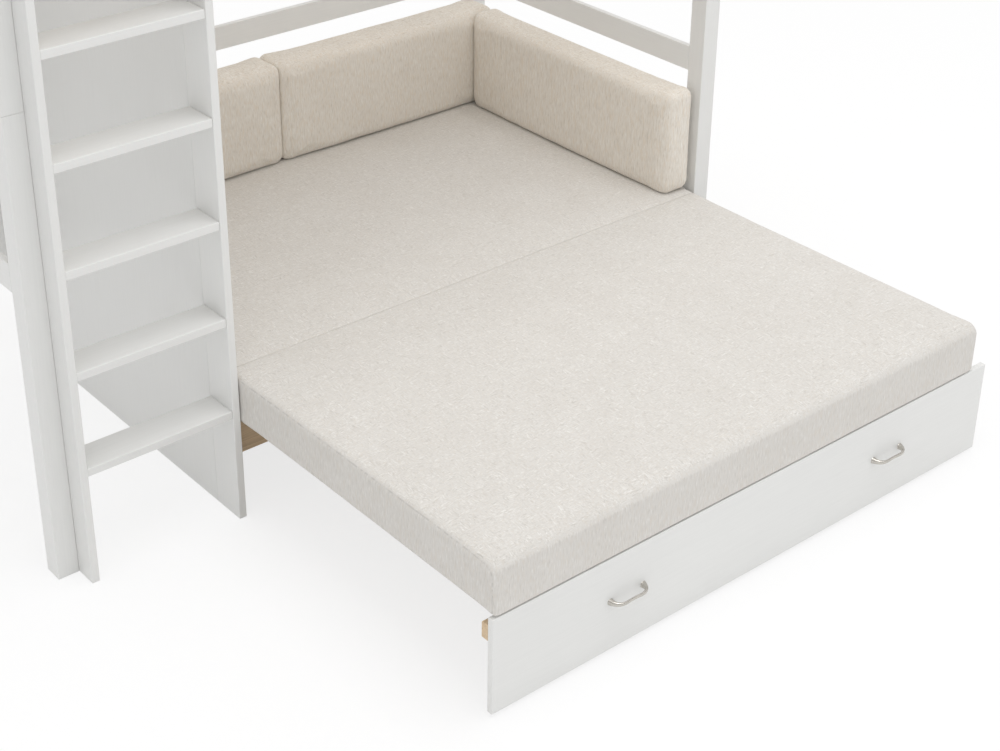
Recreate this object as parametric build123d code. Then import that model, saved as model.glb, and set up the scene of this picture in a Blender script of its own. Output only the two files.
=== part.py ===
from build123d import *
from math import cos, pi, sin
import os

# Futon bunk bed: a tall post frame with a ladder, a sofa base under the bunk, a slatted
# frame that pulls out of the base, a two-part mattress and loose cushions.
# Millimetres. Bed coordinates: X along the bed from the outer face of the left posts,
# Y to the back from the front face of the front posts, Z up from the floor.
# The rest position is the bed made up double, with the slatted frame pulled out.

# Overall frame
bed_length = 2110.0
bed_depth = 1054.0
bed_height = 1930.0
post_side = 54.0
post_joint_height = 1164.0
edge_round = 2.0
paint_gap = 0.5

# Rails at the cushions' height and the rails of the bunk
rail_thickness = 16.0
back_rail_height = 70.0
back_rail_bottom = 737.0
side_rail_thickness = 22.0
side_rail_height = 140.0
guard_height = 70.0
guard_gap = 70.0
guard_top_inset = 10.0

# Ladder and the boards of the ladder bay
ladder_board_thickness = 20.0
ladder_board_depth = 100.0
ladder_clear_width = 385.0
tread_thickness = 21.0
tread_count = 6
first_tread_top = 309.0
tread_pitch = 250.0
tread_front_inset = 2.0
tread_back_inset = 3.0
bay_panel_thickness = 12.0
bay_panel_bottom = 300.0
bay_panel_side_inset = 2.0

# Sofa base
base_rail_thickness = 20.0
base_rail_height = 96.0
base_rail_bottom = 140.0
slat_width = 48.0
slat_thickness = 22.0
slat_round = 3.0
slat_end_gap = 10.0
base_slat_count = 14
pullout_slat_count = base_slat_count - 1

# Steel angles that hold the base's front rail
angle_rail_leg = 30.0
angle_side_leg = 44.0
angle_steel = 3.0
angle_height = 44.0
angle_rise = 5.0
angle_rail_screw_inset = 17.0
angle_side_screw_inset = 31.0

# Pull-out frame
pull_travel = 958.0
slide_gap = 0.5
panel_thickness = 16.0
panel_floor_gap = 10.0
panel_right_setback = 12.0
front_rail_thickness = 20.0
front_rail_height = 40.0
front_rail_right_setback = 48.0
batten_thickness = 15.0
batten_height = 40.0
batten_end_gap = 6.0
batten_relief_depth = 1.0
batten_relief_margin = 3.0

# Wheels under the pull-out frame
wheel_count = 3
wheel_radius = 20.0
wheel_width = 18.0
wheel_round = 3.0
wheel_recess_radius = 14.0
wheel_hub_radius = 8.0
wheel_recess_depth = 3.0
wheel_side_gap = 1.0
wheel_end_inset = 160.0
axle_radius = 3.0
axle_clearance = 0.05
axle_head_radius = 4.5
axle_head_thickness = 1.5
bracket_steel = 2.5
bracket_wing = 16.0
bracket_height = 62.0
bracket_floor_gap = 14.0
bracket_wheel_gap = 4.0
bracket_past_axle = 9.0
bracket_top_depth = 12.0

# Bow handles on the front panel
handle_height = 144.0
handle_offset = 435.0
handle_shift = 7.0
handle_hole_spacing = 98.0
handle_reach = 27.0
handle_foot_width = 16.0
handle_foot_height = 16.0
handle_bar_height = 8.5
handle_bar_thickness = 5.0
handle_corner_run = 22.0

# Mattress halves
mattress_slat_gap = 0.3
mattress_thickness = 139.7
mattress_left_gap = 0.6
mattress_right_gap = 7.0
mattress_seam_y = -11.0
mattress_half_gap = 0.6
mattress_back_gap = 3.0
mattress_front_setback = 1.0
mattress_edge_radius = 26.0
mattress_bottom_radius = 7.0
mattress_corner_radius = 20.0
front_mattress_crown = 3.0
rear_mattress_crown = 0.4
mattress_draw_in = 2.0

# Loose cushions
cushion_lift = 0.3
cushion_height = 304.0
back_cushion_thickness = 139.0
back_cushion_rail_gap = 0.5
back_cushion_split_x = 1245.0
end_cushion_thickness = 110.0
end_cushion_front = 6.0
cushion_gap = 1.2
cushion_right_gap = 9.0
cushion_edge_radius = 24.0
cushion_corner_radius = 22.0
cushion_crown = 6.0
cushion_draw_in = 3.0

# Bunk slats
ledge_side = 25.0
ledge_rise = 10.0
ledge_end_gap = 6.0
bunk_slat_count = 15
bunk_slat_width = 68.0
bunk_slat_thickness = 18.0
bunk_slat_end_gap = 0.5

# Fastenings
dowel_radius = 4.0
dowel_clearance = 0.1
dowel_in_post = 12.0
dowel_in_rail = 28.0
tread_dowel_spacing = 56.0
post_pin_radius = 6.0
post_pin_half_length = 50.0
screw_radius = 2.0
screw_head_radius = 4.2
screw_head_height = 2.6
screw_head_sink = 0.3
slat_screw_length = 38.0
handle_screw_bite = 3.5
short_screw_length = 14.0
cut_overrun = 1.0

# Shares of a rail's height at which its dowels sit, so that those of two rails that meet
# in one post pass each other
dowel_height_shares = {
    ("x", 1): (0.16,),
    ("y", 1): (-0.16,),
    ("x", 2): (-0.3, 0.3),
    ("y", 2): (-0.13, 0.13),
}

# Shares that shape a pad: how far in and how deep each step of its rounded edge and of its
# crowned face lies
edge_inset_shares = (1.0, 0.55, 0.22, 0.0)
edge_depth_shares = (0.0, 0.09, 0.36, 1.0)
crown_inset_shares = (0.62, 0.36, 0.15)
crown_depth_shares = (0.0, 0.16, 0.5)
arc_middle_share = 1 - sin(pi / 4)

# Shares of a pad's edge rounding on its left, right, low and high side: the mattress halves
# are almost square where they meet, and tighter at their ends
front_mattress_edge_shares = (0.5, 0.5, 1.0, 0.2)
rear_mattress_edge_shares = (0.5, 0.5, 0.2, 1.0)
cushion_edge_shares = (1.0, 1.0, 1.0, 1.0)

# Shares of a handle's foot that are left as its arm turns into the bar
handle_flare_shares = (1.0, 0.42, 0.12, 0.0)
handle_round_share = 0.42

# Places that follow from the sizes
right_post_x = bed_length - post_side
back_post_y = bed_depth - post_side
ladder_back_y = post_side - rail_thickness
ladder_front_y = ladder_back_y - ladder_board_depth
ladder_left_x = post_side
tread_left_x = ladder_left_x + ladder_board_thickness
tread_right_x = tread_left_x + ladder_clear_width
sofa_left_x = tread_right_x + ladder_board_thickness
back_rail_top = back_rail_bottom + back_rail_height
upper_guard_bottom = bed_height - guard_top_inset - guard_height
lower_guard_bottom = upper_guard_bottom - guard_gap - guard_height
bunk_top = lower_guard_bottom - guard_gap
bunk_bottom = bunk_top - side_rail_height
bunk_front_inner_y = ladder_back_y + side_rail_thickness
bunk_back_outer_y = back_post_y + rail_thickness
bunk_back_inner_y = bunk_back_outer_y - side_rail_thickness
base_rail_top = base_rail_bottom + base_rail_height
base_slat_top = base_rail_top + slat_thickness
base_rail_back_y = back_post_y + base_rail_thickness
pullout_slat_bottom = base_rail_top + slide_gap
pullout_slat_top = pullout_slat_bottom + slat_thickness
front_rail_back_y = -slide_gap - pull_travel
front_rail_front_y = front_rail_back_y - front_rail_thickness
panel_back_y = front_rail_front_y
panel_front_y = panel_back_y - panel_thickness
panel_left_x = sofa_left_x + paint_gap
panel_right_x = bed_length - panel_right_setback
batten_front_y = base_rail_thickness + slide_gap
batten_back_y = batten_front_y + batten_thickness
slat_span = right_post_x - sofa_left_x - 2 * slat_end_gap - slat_width
slat_pitch = slat_span / (base_slat_count + pullout_slat_count - 1)
wheel_y = panel_back_y + bracket_steel + bracket_wheel_gap + wheel_radius
bracket_back_y = wheel_y + bracket_past_axle
bracket_half_span = wheel_width / 2 + wheel_side_gap + bracket_steel + bracket_wing / 2
mattress_bottom = pullout_slat_top + mattress_slat_gap
mattress_top = mattress_bottom + mattress_thickness
mattress_left_x = sofa_left_x + mattress_left_gap
mattress_right_x = right_post_x - mattress_right_gap
cushion_bottom = mattress_top + cushion_lift
cushion_right_x = right_post_x - cushion_right_gap
back_cushion_back_y = back_post_y - back_cushion_rail_gap
back_cushion_front_y = back_cushion_back_y - back_cushion_thickness
ledge_bottom = bunk_bottom + ledge_rise
ledge_top = ledge_bottom + ledge_side

# The part's origin is under the middle of everything, on the floor
origin_x = bed_length / 2
origin_y = (panel_front_y - handle_reach + bed_depth) / 2


def block(x0, x1, y0, y1, z0, z1):
    """Plain block between two corners."""
    middle = ((x0 + x1) / 2, (y0 + y1) / 2, (z0 + z1) / 2)
    return Pos(*middle) * Box(abs(x1 - x0), y1 - y0, z1 - z0)


def board(x0, x1, y0, y1, z0, z1):
    """Board with every edge rounded over."""
    thinnest = min(x1 - x0, y1 - y0, z1 - z0)
    return fillet(block(x0, x1, y0, y1, z0, z1).edges(), min(edge_round, thinnest / 4))


def rod(x, y, z, axis, length, radius):
    """Round rod centred on a point, along X, Y or Z."""
    turns = {"x": Rot(0, 90, 0), "y": Rot(90, 0, 0), "z": Rot(0, 0, 0)}
    return Pos(x, y, z) * turns[axis] * Cylinder(radius, length)


def cut_all(solid, tools):
    """Take a list of tools away from a solid."""
    for tool in tools:
        solid = solid - tool
    return solid


# Rails, which stand between two posts and are doweled to them


class Rail:
    """Board between two posts, along X or along Y, with dowels into the posts it meets."""

    def __init__(self, axis, across, heights, posts, dowel_count=2, start=None):
        self.axis = axis
        self.across = across
        self.bottom, self.top = heights
        self.posts = posts
        self.dowel_count = dowel_count
        self.stop = right_post_x if axis == "x" else back_post_y
        self.start = post_side if start is None else start

    def solid(self):
        spans = ((self.start, self.stop), self.across)
        (x0, x1), (y0, y1) = spans if self.axis == "x" else reversed(spans)
        body = board(x0, x1, y0, y1, self.bottom, self.top)
        for post_name in self.posts:
            body = cut_all(body, self.dowels(post_name, dowel_clearance))
        return body

    def dowels(self, post_name, clearance=0.0):
        """Dowels into one post, or the holes for them when a clearance is given."""
        far = "right" in post_name if self.axis == "x" else "back" in post_name
        place = self.stop if far else self.start
        way = 1 if far else -1
        inner = place - way * (dowel_in_rail + clearance)
        outer = place + way * (dowel_in_post + clearance)
        along = (inner + outer) / 2
        across = sum(self.across) / 2
        point = (along, across) if self.axis == "x" else (across, along)
        made = []
        for share in dowel_height_shares[(self.axis, self.dowel_count)]:
            z = (self.bottom + self.top) / 2 + share * (self.top - self.bottom)
            length = abs(outer - inner)
            made.append(rod(*point, z, self.axis, length, dowel_radius + clearance))
        return made


def side_rails(heights, thickness, dowel_count, front_start):
    """Rails on the four sides of the bunk at one height: front, back, left and right."""
    front_y = (ladder_back_y, ladder_back_y + thickness)
    back_y = (bunk_back_outer_y - thickness, bunk_back_outer_y)
    left_x = (post_side - thickness, post_side)
    right_x = (right_post_x, right_post_x + thickness)
    front_posts = ["right_front_post"] if front_start else ["left_front_post", "right_front_post"]
    back_posts = ["left_back_post", "right_back_post"]
    left_posts = ["left_front_post", "left_back_post"]
    right_posts = ["right_front_post", "right_back_post"]
    return {
        "front": Rail("x", front_y, heights, front_posts, dowel_count, front_start),
        "back": Rail("x", back_y, heights, back_posts, dowel_count),
        "left": Rail("y", left_x, heights, left_posts, dowel_count),
        "right": Rail("y", right_x, heights, right_posts, dowel_count),
    }


def cushion_rails():
    """The back rail and the two end rails at the height of the cushions' tops."""
    heights = (back_rail_bottom, back_rail_top)
    behind = (back_post_y, back_post_y + rail_thickness)
    left = (0.0, rail_thickness)
    right = (right_post_x, right_post_x + rail_thickness)
    return {
        "back_rail": Rail("x", behind, heights, ["left_back_post", "right_back_post"]),
        "left_end_rail": Rail("y", left, heights, ["left_front_post", "left_back_post"]),
        "right_end_rail": Rail("y", right, heights, ["right_front_post", "right_back_post"]),
    }


def guard_rails(bottom):
    """Guard rails on the four sides; the front one stops at the ladder's right board."""
    return side_rails((bottom, bottom + guard_height), rail_thickness, 1, tread_right_x)


bunk_rails = side_rails((bunk_bottom, bunk_top), side_rail_thickness, 2, None)
lower_guards = guard_rails(lower_guard_bottom)
upper_guards = guard_rails(upper_guard_bottom)
seat_rails = cushion_rails()
base_back_rail = Rail(
    "x", (back_post_y, base_rail_back_y), (base_rail_bottom, base_rail_top),
    ["right_back_post"], start=tread_right_x,
)
post_rails = [base_back_rail, *seat_rails.values(), *bunk_rails.values()]
post_rails.extend([*lower_guards.values(), *upper_guards.values()])


# Posts, in two lengths, one pinned on top of the other


def post_corner(name):
    """Left front corner of a post in plan."""
    x = right_post_x if "right" in name else 0.0
    y = back_post_y if "back" in name else 0.0
    return x, y


def post_pin(name, clearance=0.0):
    x, y = post_corner(name)
    length = 2 * (post_pin_half_length + clearance)
    radius = post_pin_radius + clearance
    return rod(x + post_side / 2, y + post_side / 2, post_joint_height, "z", length, radius)


def post(name, bottom, top):
    """One length of a post, drilled for its pin, its rails' dowels and the base's angle."""
    x, y = post_corner(name)
    solid = board(x, x + post_side, y, y + post_side, bottom, top)
    solid = solid - post_pin(name, dowel_clearance)
    for rail in post_rails:
        if name in rail.posts and bottom < rail.bottom < top:
            solid = cut_all(solid, rail.dowels(name, dowel_clearance))
    if name == "right_front_post" and bottom < base_rail_bottom:
        solid = cut_all(solid, angle_screws("right", dowel_clearance))
    return solid


# Ladder: two side boards with treads doweled between them


def tread_dowels(index, side, clearance=0.0):
    """The two dowels at one end of a tread."""
    face = tread_left_x if side == "left" else tread_right_x
    inward = 1 if side == "left" else -1
    outer = face - inward * (dowel_in_post + clearance)
    inner = face + inward * (dowel_in_rail + clearance)
    z = first_tread_top + index * tread_pitch - tread_thickness / 2
    made = []
    for step in (-1, 1):
        y = (ladder_front_y + ladder_back_y + step * tread_dowel_spacing) / 2
        length = abs(outer - inner)
        made.append(rod((outer + inner) / 2, y, z, "x", length, dowel_radius + clearance))
    return made


def ladder_board(side):
    x0 = ladder_left_x if side == "left" else tread_right_x
    x1 = x0 + ladder_board_thickness
    solid = board(x0, x1, ladder_front_y, ladder_back_y, 0.0, bed_height)
    for index in range(tread_count):
        solid = cut_all(solid, tread_dowels(index, side, dowel_clearance))
    return solid


def tread(index):
    y0 = ladder_front_y + tread_front_inset
    y1 = ladder_back_y - tread_back_inset
    top = first_tread_top + index * tread_pitch
    solid = board(tread_left_x, tread_right_x, y0, y1, top - tread_thickness, top)
    for side in ("left", "right"):
        solid = cut_all(solid, tread_dowels(index, side, dowel_clearance))
    return solid


def divider_dowels(clearance=0.0):
    """Dowels from the divider panel's back edge into the base's back rail."""
    start = back_post_y - dowel_in_rail - clearance
    stop = back_post_y + dowel_in_post + clearance
    x = (tread_right_x + sofa_left_x) / 2
    radius = dowel_radius + clearance
    made = []
    for share in dowel_height_shares[("x", base_back_rail.dowel_count)]:
        z = (base_rail_bottom + base_rail_top) / 2 + share * base_rail_height
        made.append(rod(x, (start + stop) / 2, z, "y", stop - start, radius))
    return made


def dowels():
    """Every wooden dowel of the frame."""
    made = divider_dowels()
    for rail in post_rails:
        for post_name in rail.posts:
            made.extend(rail.dowels(post_name))
    for index in range(tread_count):
        made.extend(tread_dowels(index, "left") + tread_dowels(index, "right"))
    return made


# Boards round the ladder bay


def divider_panel():
    solid = board(tread_right_x, sofa_left_x, ladder_back_y, back_post_y, 0.0, bunk_bottom)
    return cut_all(solid, angle_screws("left", dowel_clearance) + divider_dowels(dowel_clearance))


def bay_back_panel():
    x0 = rail_thickness + bay_panel_side_inset
    y0 = back_post_y - bay_panel_thickness
    return board(x0, tread_right_x, y0, back_post_y, bay_panel_bottom, bunk_bottom)


# Screws


def slat_screw(x, y, slat_top, clearance=0.0):
    """Countersunk screw with its head just under a slat's top, or the hole for it."""
    head_top = slat_top - screw_head_sink
    radius = screw_radius + clearance
    length = slat_screw_length + clearance
    head_radius = screw_head_radius + clearance
    shank = rod(x, y, head_top - length / 2, "z", length, radius)
    head = Pos(x, y, head_top - screw_head_height / 2) * Cone(radius, head_radius, screw_head_height)
    if clearance == 0:
        return shank + head
    return shank + head + rod(x, y, slat_top, "z", 2 * screw_head_sink, head_radius)


def pan_screw(x, y, z, axis, way, length, clearance=0.0):
    """Screw with its head on a face and its shank going in, or the hole for the shank."""
    along = {"x": (way, 0), "y": (0, way)}[axis]
    reach = (length + clearance) / 2
    shank_middle = (x + along[0] * reach, y + along[1] * reach, z)
    shank = rod(*shank_middle, axis, 2 * reach, screw_radius + clearance)
    if clearance > 0:
        return shank
    out = screw_head_height / 2
    head = rod(x - along[0] * out, y - along[1] * out, z, axis, screw_head_height, screw_head_radius)
    return shank + head


# Sofa base with its fixed slats


def slat_left(place):
    """Left edge of the slat in a place, counted along the base with both kinds of slat."""
    return sofa_left_x + slat_end_gap + slat_pitch * place


def slat(place, y0, y1, bottom):
    """Slat with its long edges rounded."""
    x0 = slat_left(place)
    solid = block(x0, x0 + slat_width, y0, y1, bottom, bottom + slat_thickness)
    return fillet(solid.edges().filter_by(Axis.Y), min(slat_round, slat_thickness / 4))


base_places = range(0, base_slat_count + pullout_slat_count, 2)
pullout_places = range(1, base_slat_count + pullout_slat_count, 2)


def screw_spots(places, rows):
    """Where slats are screwed down: each slat's middle on each row."""
    return [(slat_left(place) + slat_width / 2, y) for place in places for y in rows]


base_spots = screw_spots(
    base_places, (base_rail_thickness / 2, back_post_y + base_rail_thickness / 2)
)
pullout_spots = screw_spots(
    pullout_places,
    ((front_rail_front_y + front_rail_back_y) / 2, (batten_front_y + batten_back_y) / 2),
)


def drilled(solid, spots, slat_top):
    """Cut the holes of the slat screws that pass through this solid."""
    box = solid.bounding_box()
    for x, y in spots:
        if box.min.X < x < box.max.X and box.min.Y < y < box.max.Y:
            solid = solid - slat_screw(x, y, slat_top, dowel_clearance)
    return solid


def base_front_rail():
    solid = board(
        sofa_left_x, right_post_x, 0.0, base_rail_thickness, base_rail_bottom, base_rail_top
    )
    for side in ("left", "right"):
        solid = cut_all(solid, angle_screws(side, dowel_clearance))
    return drilled(solid, base_spots, base_slat_top)


def base_slats():
    made = [slat(place, 0.0, base_rail_back_y, base_rail_top) for place in base_places]
    return [drilled(solid, base_spots, base_slat_top) for solid in made]


def angle_corner(side):
    """Inner corner that a steel angle sits in, and the way its rail leg points."""
    return (sofa_left_x, 1) if side == "left" else (right_post_x, -1)


def angle(side):
    """Steel angle behind the base's front rail, screwed to the rail and to its neighbour."""
    x, way = angle_corner(side)
    y = base_rail_thickness
    bottom = base_rail_bottom + angle_rise
    top = bottom + angle_height
    ends = sorted((x, x + way * angle_rail_leg))
    walls = sorted((x, x + way * angle_steel))
    solid = block(*ends, y, y + angle_steel, bottom, top)
    solid = solid + block(*walls, y, y + angle_side_leg, bottom, top)
    return cut_all(solid, angle_screws(side, dowel_clearance))


def angle_screws(side, clearance=0.0):
    """One screw into the rail and one into the board or post beside it."""
    x, way = angle_corner(side)
    y = base_rail_thickness
    z = base_rail_bottom + angle_rise + angle_height / 2
    rail_x = x + way * angle_rail_screw_inset
    side_y = y + angle_side_screw_inset
    return [
        pan_screw(rail_x, y + angle_steel, z, "y", -1, short_screw_length, clearance),
        pan_screw(x + way * angle_steel, side_y, z, "x", -way, short_screw_length, clearance),
    ]


# Pull-out frame


def handle_centres():
    middle = (panel_left_x + panel_right_x) / 2 + handle_shift
    return [middle - handle_offset, middle + handle_offset]


def handle_screws(clearance=0.0):
    """Screws from behind the front panel into the handles' feet."""
    length = panel_thickness + handle_screw_bite
    made = []
    for centre in handle_centres():
        for step in (-1, 1):
            x = centre + step * handle_hole_spacing / 2
            made.append(pan_screw(x, panel_back_y, handle_height, "y", -1, length, clearance))
    return made


def wheel_centres():
    first = panel_left_x + wheel_end_inset
    last = panel_right_x - wheel_end_inset
    step = (last - first) / (wheel_count - 1)
    return [first + step * index for index in range(wheel_count)]


def bracket_screws(clearance=0.0):
    """Two screws through the wings of each wheel bracket into the front panel."""
    y = panel_back_y + bracket_steel
    z = bracket_floor_gap + bracket_height / 2
    made = []
    for centre in wheel_centres():
        for step in (-1, 1):
            x = centre + step * bracket_half_span
            made.append(pan_screw(x, y, z, "y", -1, short_screw_length, clearance))
    return made


def front_panel():
    solid = board(
        panel_left_x, panel_right_x, panel_front_y, panel_back_y, panel_floor_gap, pullout_slat_top
    )
    return cut_all(solid, handle_screws(dowel_clearance) + bracket_screws(dowel_clearance))


def pullout_front_rail():
    right = right_post_x - front_rail_right_setback
    bottom = pullout_slat_bottom - front_rail_height
    solid = board(
        panel_left_x, right, front_rail_front_y, front_rail_back_y, bottom, pullout_slat_bottom
    )
    return drilled(solid, pullout_spots, pullout_slat_top)


def pullout_rear_batten():
    """Batten that ties the sliding slats, eased where it passes under the fixed ones."""
    left = sofa_left_x + batten_end_gap
    right = right_post_x - batten_end_gap
    top = pullout_slat_bottom
    solid = board(left, right, batten_front_y, batten_back_y, top - batten_height, top)
    for place in base_places:
        x0 = slat_left(place) - batten_relief_margin
        x1 = slat_left(place) + slat_width + batten_relief_margin
        solid = solid - block(
            x0, x1, batten_front_y - cut_overrun, batten_back_y + cut_overrun,
            top - batten_relief_depth, top + cut_overrun,
        )
    return drilled(solid, pullout_spots, pullout_slat_top)


def pullout_slats():
    made = [slat(place, panel_back_y, batten_back_y, pullout_slat_bottom) for place in pullout_places]
    return [drilled(solid, pullout_spots, pullout_slat_top) for solid in made]


def handle_section(x, y, heading, height, thickness):
    """Rounded section of a handle, square to its line, which heads along a plan angle."""
    direction = (cos(heading), sin(heading), 0)
    across = (-sin(heading), cos(heading), 0)
    plane = Plane(origin=(x, y, handle_height), x_dir=across, z_dir=direction)
    rounding = min(thickness, height) * handle_round_share
    return plane * RectangleRounded(thickness, height, rounding)


def handle(centre):
    """Bow handle: flared feet, arms that sweep round and a slim straight bar."""
    out = handle_reach - handle_bar_thickness / 2
    steps = len(handle_flare_shares) - 1
    half = []
    for index, share in enumerate(handle_flare_shares):
        turn = index / steps * pi / 2
        x = -handle_hole_spacing / 2 + handle_corner_run * (1 - cos(turn))
        y = -out * sin(turn)
        height = handle_bar_height + (handle_foot_height - handle_bar_height) * share
        width = handle_bar_thickness + (handle_foot_width - handle_bar_thickness) * share
        half.append((x, y, turn - pi / 2, height, width))
    other = [(-x, y, -heading, height, width) for x, y, heading, height, width in reversed(half)]
    sections = []
    for x, y, heading, height, width in half + other:
        place = (centre + x, panel_front_y + y)
        sections.append(handle_section(*place, heading, height, width))
    return cut_all(loft(sections), handle_screws(dowel_clearance))


def wheel(centre):
    """Nylon wheel with a rounded rim, a sunk web on both sides and a bore for its axle."""
    solid = rod(centre, wheel_y, wheel_radius, "x", wheel_width, wheel_radius)
    solid = fillet(solid.edges().filter_by(GeomType.CIRCLE), min(wheel_round, wheel_width / 4))
    depth = wheel_recess_depth + cut_overrun
    for side in (-1, 1):
        x = centre + side * (wheel_width / 2 + cut_overrun - depth / 2)
        sink = rod(x, wheel_y, wheel_radius, "x", depth, wheel_recess_radius)
        solid = solid - (sink - rod(x, wheel_y, wheel_radius, "x", depth, wheel_hub_radius))
    bore = axle_radius + axle_clearance
    return solid - rod(centre, wheel_y, wheel_radius, "x", wheel_width + cut_overrun, bore)


def axle(centre):
    """Rivet that the wheel turns on, with a head outside each cheek of the bracket."""
    half = wheel_width / 2 + wheel_side_gap + bracket_steel
    solid = rod(centre, wheel_y, wheel_radius, "x", 2 * half, axle_radius)
    for side in (-1, 1):
        x = centre + side * (half + axle_head_thickness / 2)
        head = rod(x, wheel_y, wheel_radius, "x", axle_head_thickness, axle_head_radius)
        solid = solid + head
    return solid


def wheel_bracket(centre):
    """Pressed bracket: a plate on the panel's back and a cheek each side of the wheel."""
    bottom = bracket_floor_gap
    top = bottom + bracket_height
    front = panel_back_y
    inner = wheel_width / 2 + wheel_side_gap
    wing = inner + bracket_steel + bracket_wing
    solid = block(centre - wing, centre + wing, front, front + bracket_steel, bottom, top)
    outline = [
        (front, bottom),
        (bracket_back_y, bottom),
        (bracket_back_y, wheel_radius + bracket_past_axle),
        (front + bracket_top_depth, top),
        (front, top),
    ]
    cheek = extrude(Plane.YZ * Polygon(*outline, align=None), amount=bracket_steel)
    for x in (centre + inner, centre - inner - bracket_steel):
        solid = solid + Pos(x, 0, 0) * cheek
    solid = solid - rod(centre, wheel_y, wheel_radius, "x", 2 * wing, axle_radius)
    return cut_all(solid, bracket_screws(dowel_clearance))


# Mattress and cushions


def pad_side(start, end, draw, inward):
    """Side of a pad's outline between two corners: straight, or an arc drawn in at its middle."""
    if draw == 0:
        return Line(start, end)
    middle = ((start[0] + end[0]) / 2 + inward[0] * draw, (start[1] + end[1]) / 2 + inward[1] * draw)
    return ThreePointArc(start, middle, end)


def pad_outline(plane, half_u, half_v, insets, radius, draws):
    """Face of one layer of a pad: rounded corners with sides drawn in between them."""
    u0, u1, v0, v1 = (insets[0] - half_u, half_u - insets[1], insets[2] - half_v, half_v - insets[3])
    left, right, low, high = draws
    bend = radius * arc_middle_share
    edges = [
        pad_side((u0 + radius, v0), (u1 - radius, v0), low, (0, 1)),
        ThreePointArc((u1 - radius, v0), (u1 - bend, v0 + bend), (u1, v0 + radius)),
        pad_side((u1, v0 + radius), (u1, v1 - radius), right, (-1, 0)),
        ThreePointArc((u1, v1 - radius), (u1 - bend, v1 - bend), (u1 - radius, v1)),
        pad_side((u1 - radius, v1), (u0 + radius, v1), high, (0, -1)),
        ThreePointArc((u0 + radius, v1), (u0 + bend, v1 - bend), (u0, v1 - radius)),
        pad_side((u0, v1 - radius), (u0, v0 + radius), left, (1, 0)),
        ThreePointArc((u0, v0 + radius), (u0 + bend, v0 + bend), (u0 + radius, v0)),
    ]
    return plane * make_face(edges)


def edge_steps(radius):
    """Crown share, edge inset and height of each layer of a rounded edge."""
    return [
        (0.0, radius * inset, radius * depth)
        for inset, depth in zip(edge_inset_shares, edge_depth_shares)
    ]


def pad_steps(thickness, edge, crown, flat_edge):
    """Crown share, edge inset and height of each layer, from one big face to the other."""
    crowned = [
        (share, edge, crown * depth) for share, depth in zip(crown_inset_shares, crown_depth_shares)
    ]
    crowned += [(share, inset, crown + depth) for share, inset, depth in edge_steps(edge)]
    first = crowned if flat_edge is None else edge_steps(flat_edge)
    last = [(share, inset, thickness - depth) for share, inset, depth in reversed(crowned)]
    return first + last


def pad(plane, size_u, size_v, thickness, edge, radius, crown, draws, edge_shares, flat_edge=None):
    """Stuffed pad that starts on a plane: crowned faces, rounded edges, drawn-in sides.

    The first face is flat, with an edge rounding of its own, when flat_edge is given.
    """
    reach = min(size_u, size_v) / 2 - edge - radius
    layers = []
    for share, inset, height in pad_steps(thickness, edge, crown, flat_edge):
        insets = [share * reach + inset * edge_share for edge_share in edge_shares]
        level = plane.offset(height)
        layers.append(pad_outline(level, size_u / 2, size_v / 2, insets, radius, draws))
    return loft(layers, ruled=True)


def mattress_half(y0, y1, crown, edge_shares):
    """One half of the mattress, flat underneath and crowned on top."""
    middle = ((mattress_left_x + mattress_right_x) / 2, (y0 + y1) / 2, mattress_bottom)
    plane = Plane(origin=middle, x_dir=(1, 0, 0), z_dir=(0, 0, 1))
    draws = (mattress_draw_in, mattress_draw_in, mattress_draw_in, mattress_draw_in)
    return pad(
        plane, mattress_right_x - mattress_left_x, y1 - y0, mattress_thickness,
        mattress_edge_radius, mattress_corner_radius, crown, draws, edge_shares,
        mattress_bottom_radius,
    )


def rear_mattress():
    """The half on the fixed base, pressed almost flat by the cushions that stand on it."""
    y0 = mattress_seam_y + mattress_half_gap / 2
    y1 = back_post_y - mattress_back_gap
    return mattress_half(y0, y1, rear_mattress_crown, rear_mattress_edge_shares)


def front_mattress():
    """The half that lies on the pull-out frame and on its front panel's top edge."""
    y0 = panel_front_y + mattress_front_setback
    y1 = mattress_seam_y - mattress_half_gap / 2
    return mattress_half(y0, y1, front_mattress_crown, front_mattress_edge_shares)


def standing_cushion(middle, across, length, thickness):
    """Cushion that stands on the mattress: straight below, drawn in on its other sides."""
    x, y = middle
    z = cushion_bottom + cushion_height / 2
    facing = (0, 1, 0) if across == "y" else (1, 0, 0)
    sideways = (-1, 0, 0) if across == "y" else (0, 1, 0)
    plane = Plane(origin=(x, y, z), x_dir=sideways, z_dir=facing)
    draws = (cushion_draw_in, cushion_draw_in, 0.0, cushion_draw_in)
    return pad(
        plane, length, cushion_height, thickness, cushion_edge_radius,
        cushion_corner_radius, cushion_crown, draws, cushion_edge_shares,
    )


def back_cushion(x0, x1):
    middle = ((x0 + x1) / 2, back_cushion_front_y)
    return standing_cushion(middle, "y", x1 - x0, back_cushion_thickness)


def left_back_cushion():
    return back_cushion(mattress_left_x, back_cushion_split_x - cushion_gap / 2)


def right_back_cushion():
    return back_cushion(back_cushion_split_x + cushion_gap / 2, cushion_right_x)


def end_cushion():
    y0 = end_cushion_front
    y1 = back_cushion_front_y - cushion_gap
    middle = (cushion_right_x - end_cushion_thickness, (y0 + y1) / 2)
    return standing_cushion(middle, "x", y1 - y0, end_cushion_thickness)


# Bunk slats on their ledges


def slat_ledge(side):
    """Ledge along the inside of a long bunk rail."""
    y0 = bunk_front_inner_y if side == "front" else bunk_back_inner_y - ledge_side
    x0 = post_side + ledge_end_gap
    x1 = right_post_x - ledge_end_gap
    return board(x0, x1, y0, y0 + ledge_side, ledge_bottom, ledge_top)


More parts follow.
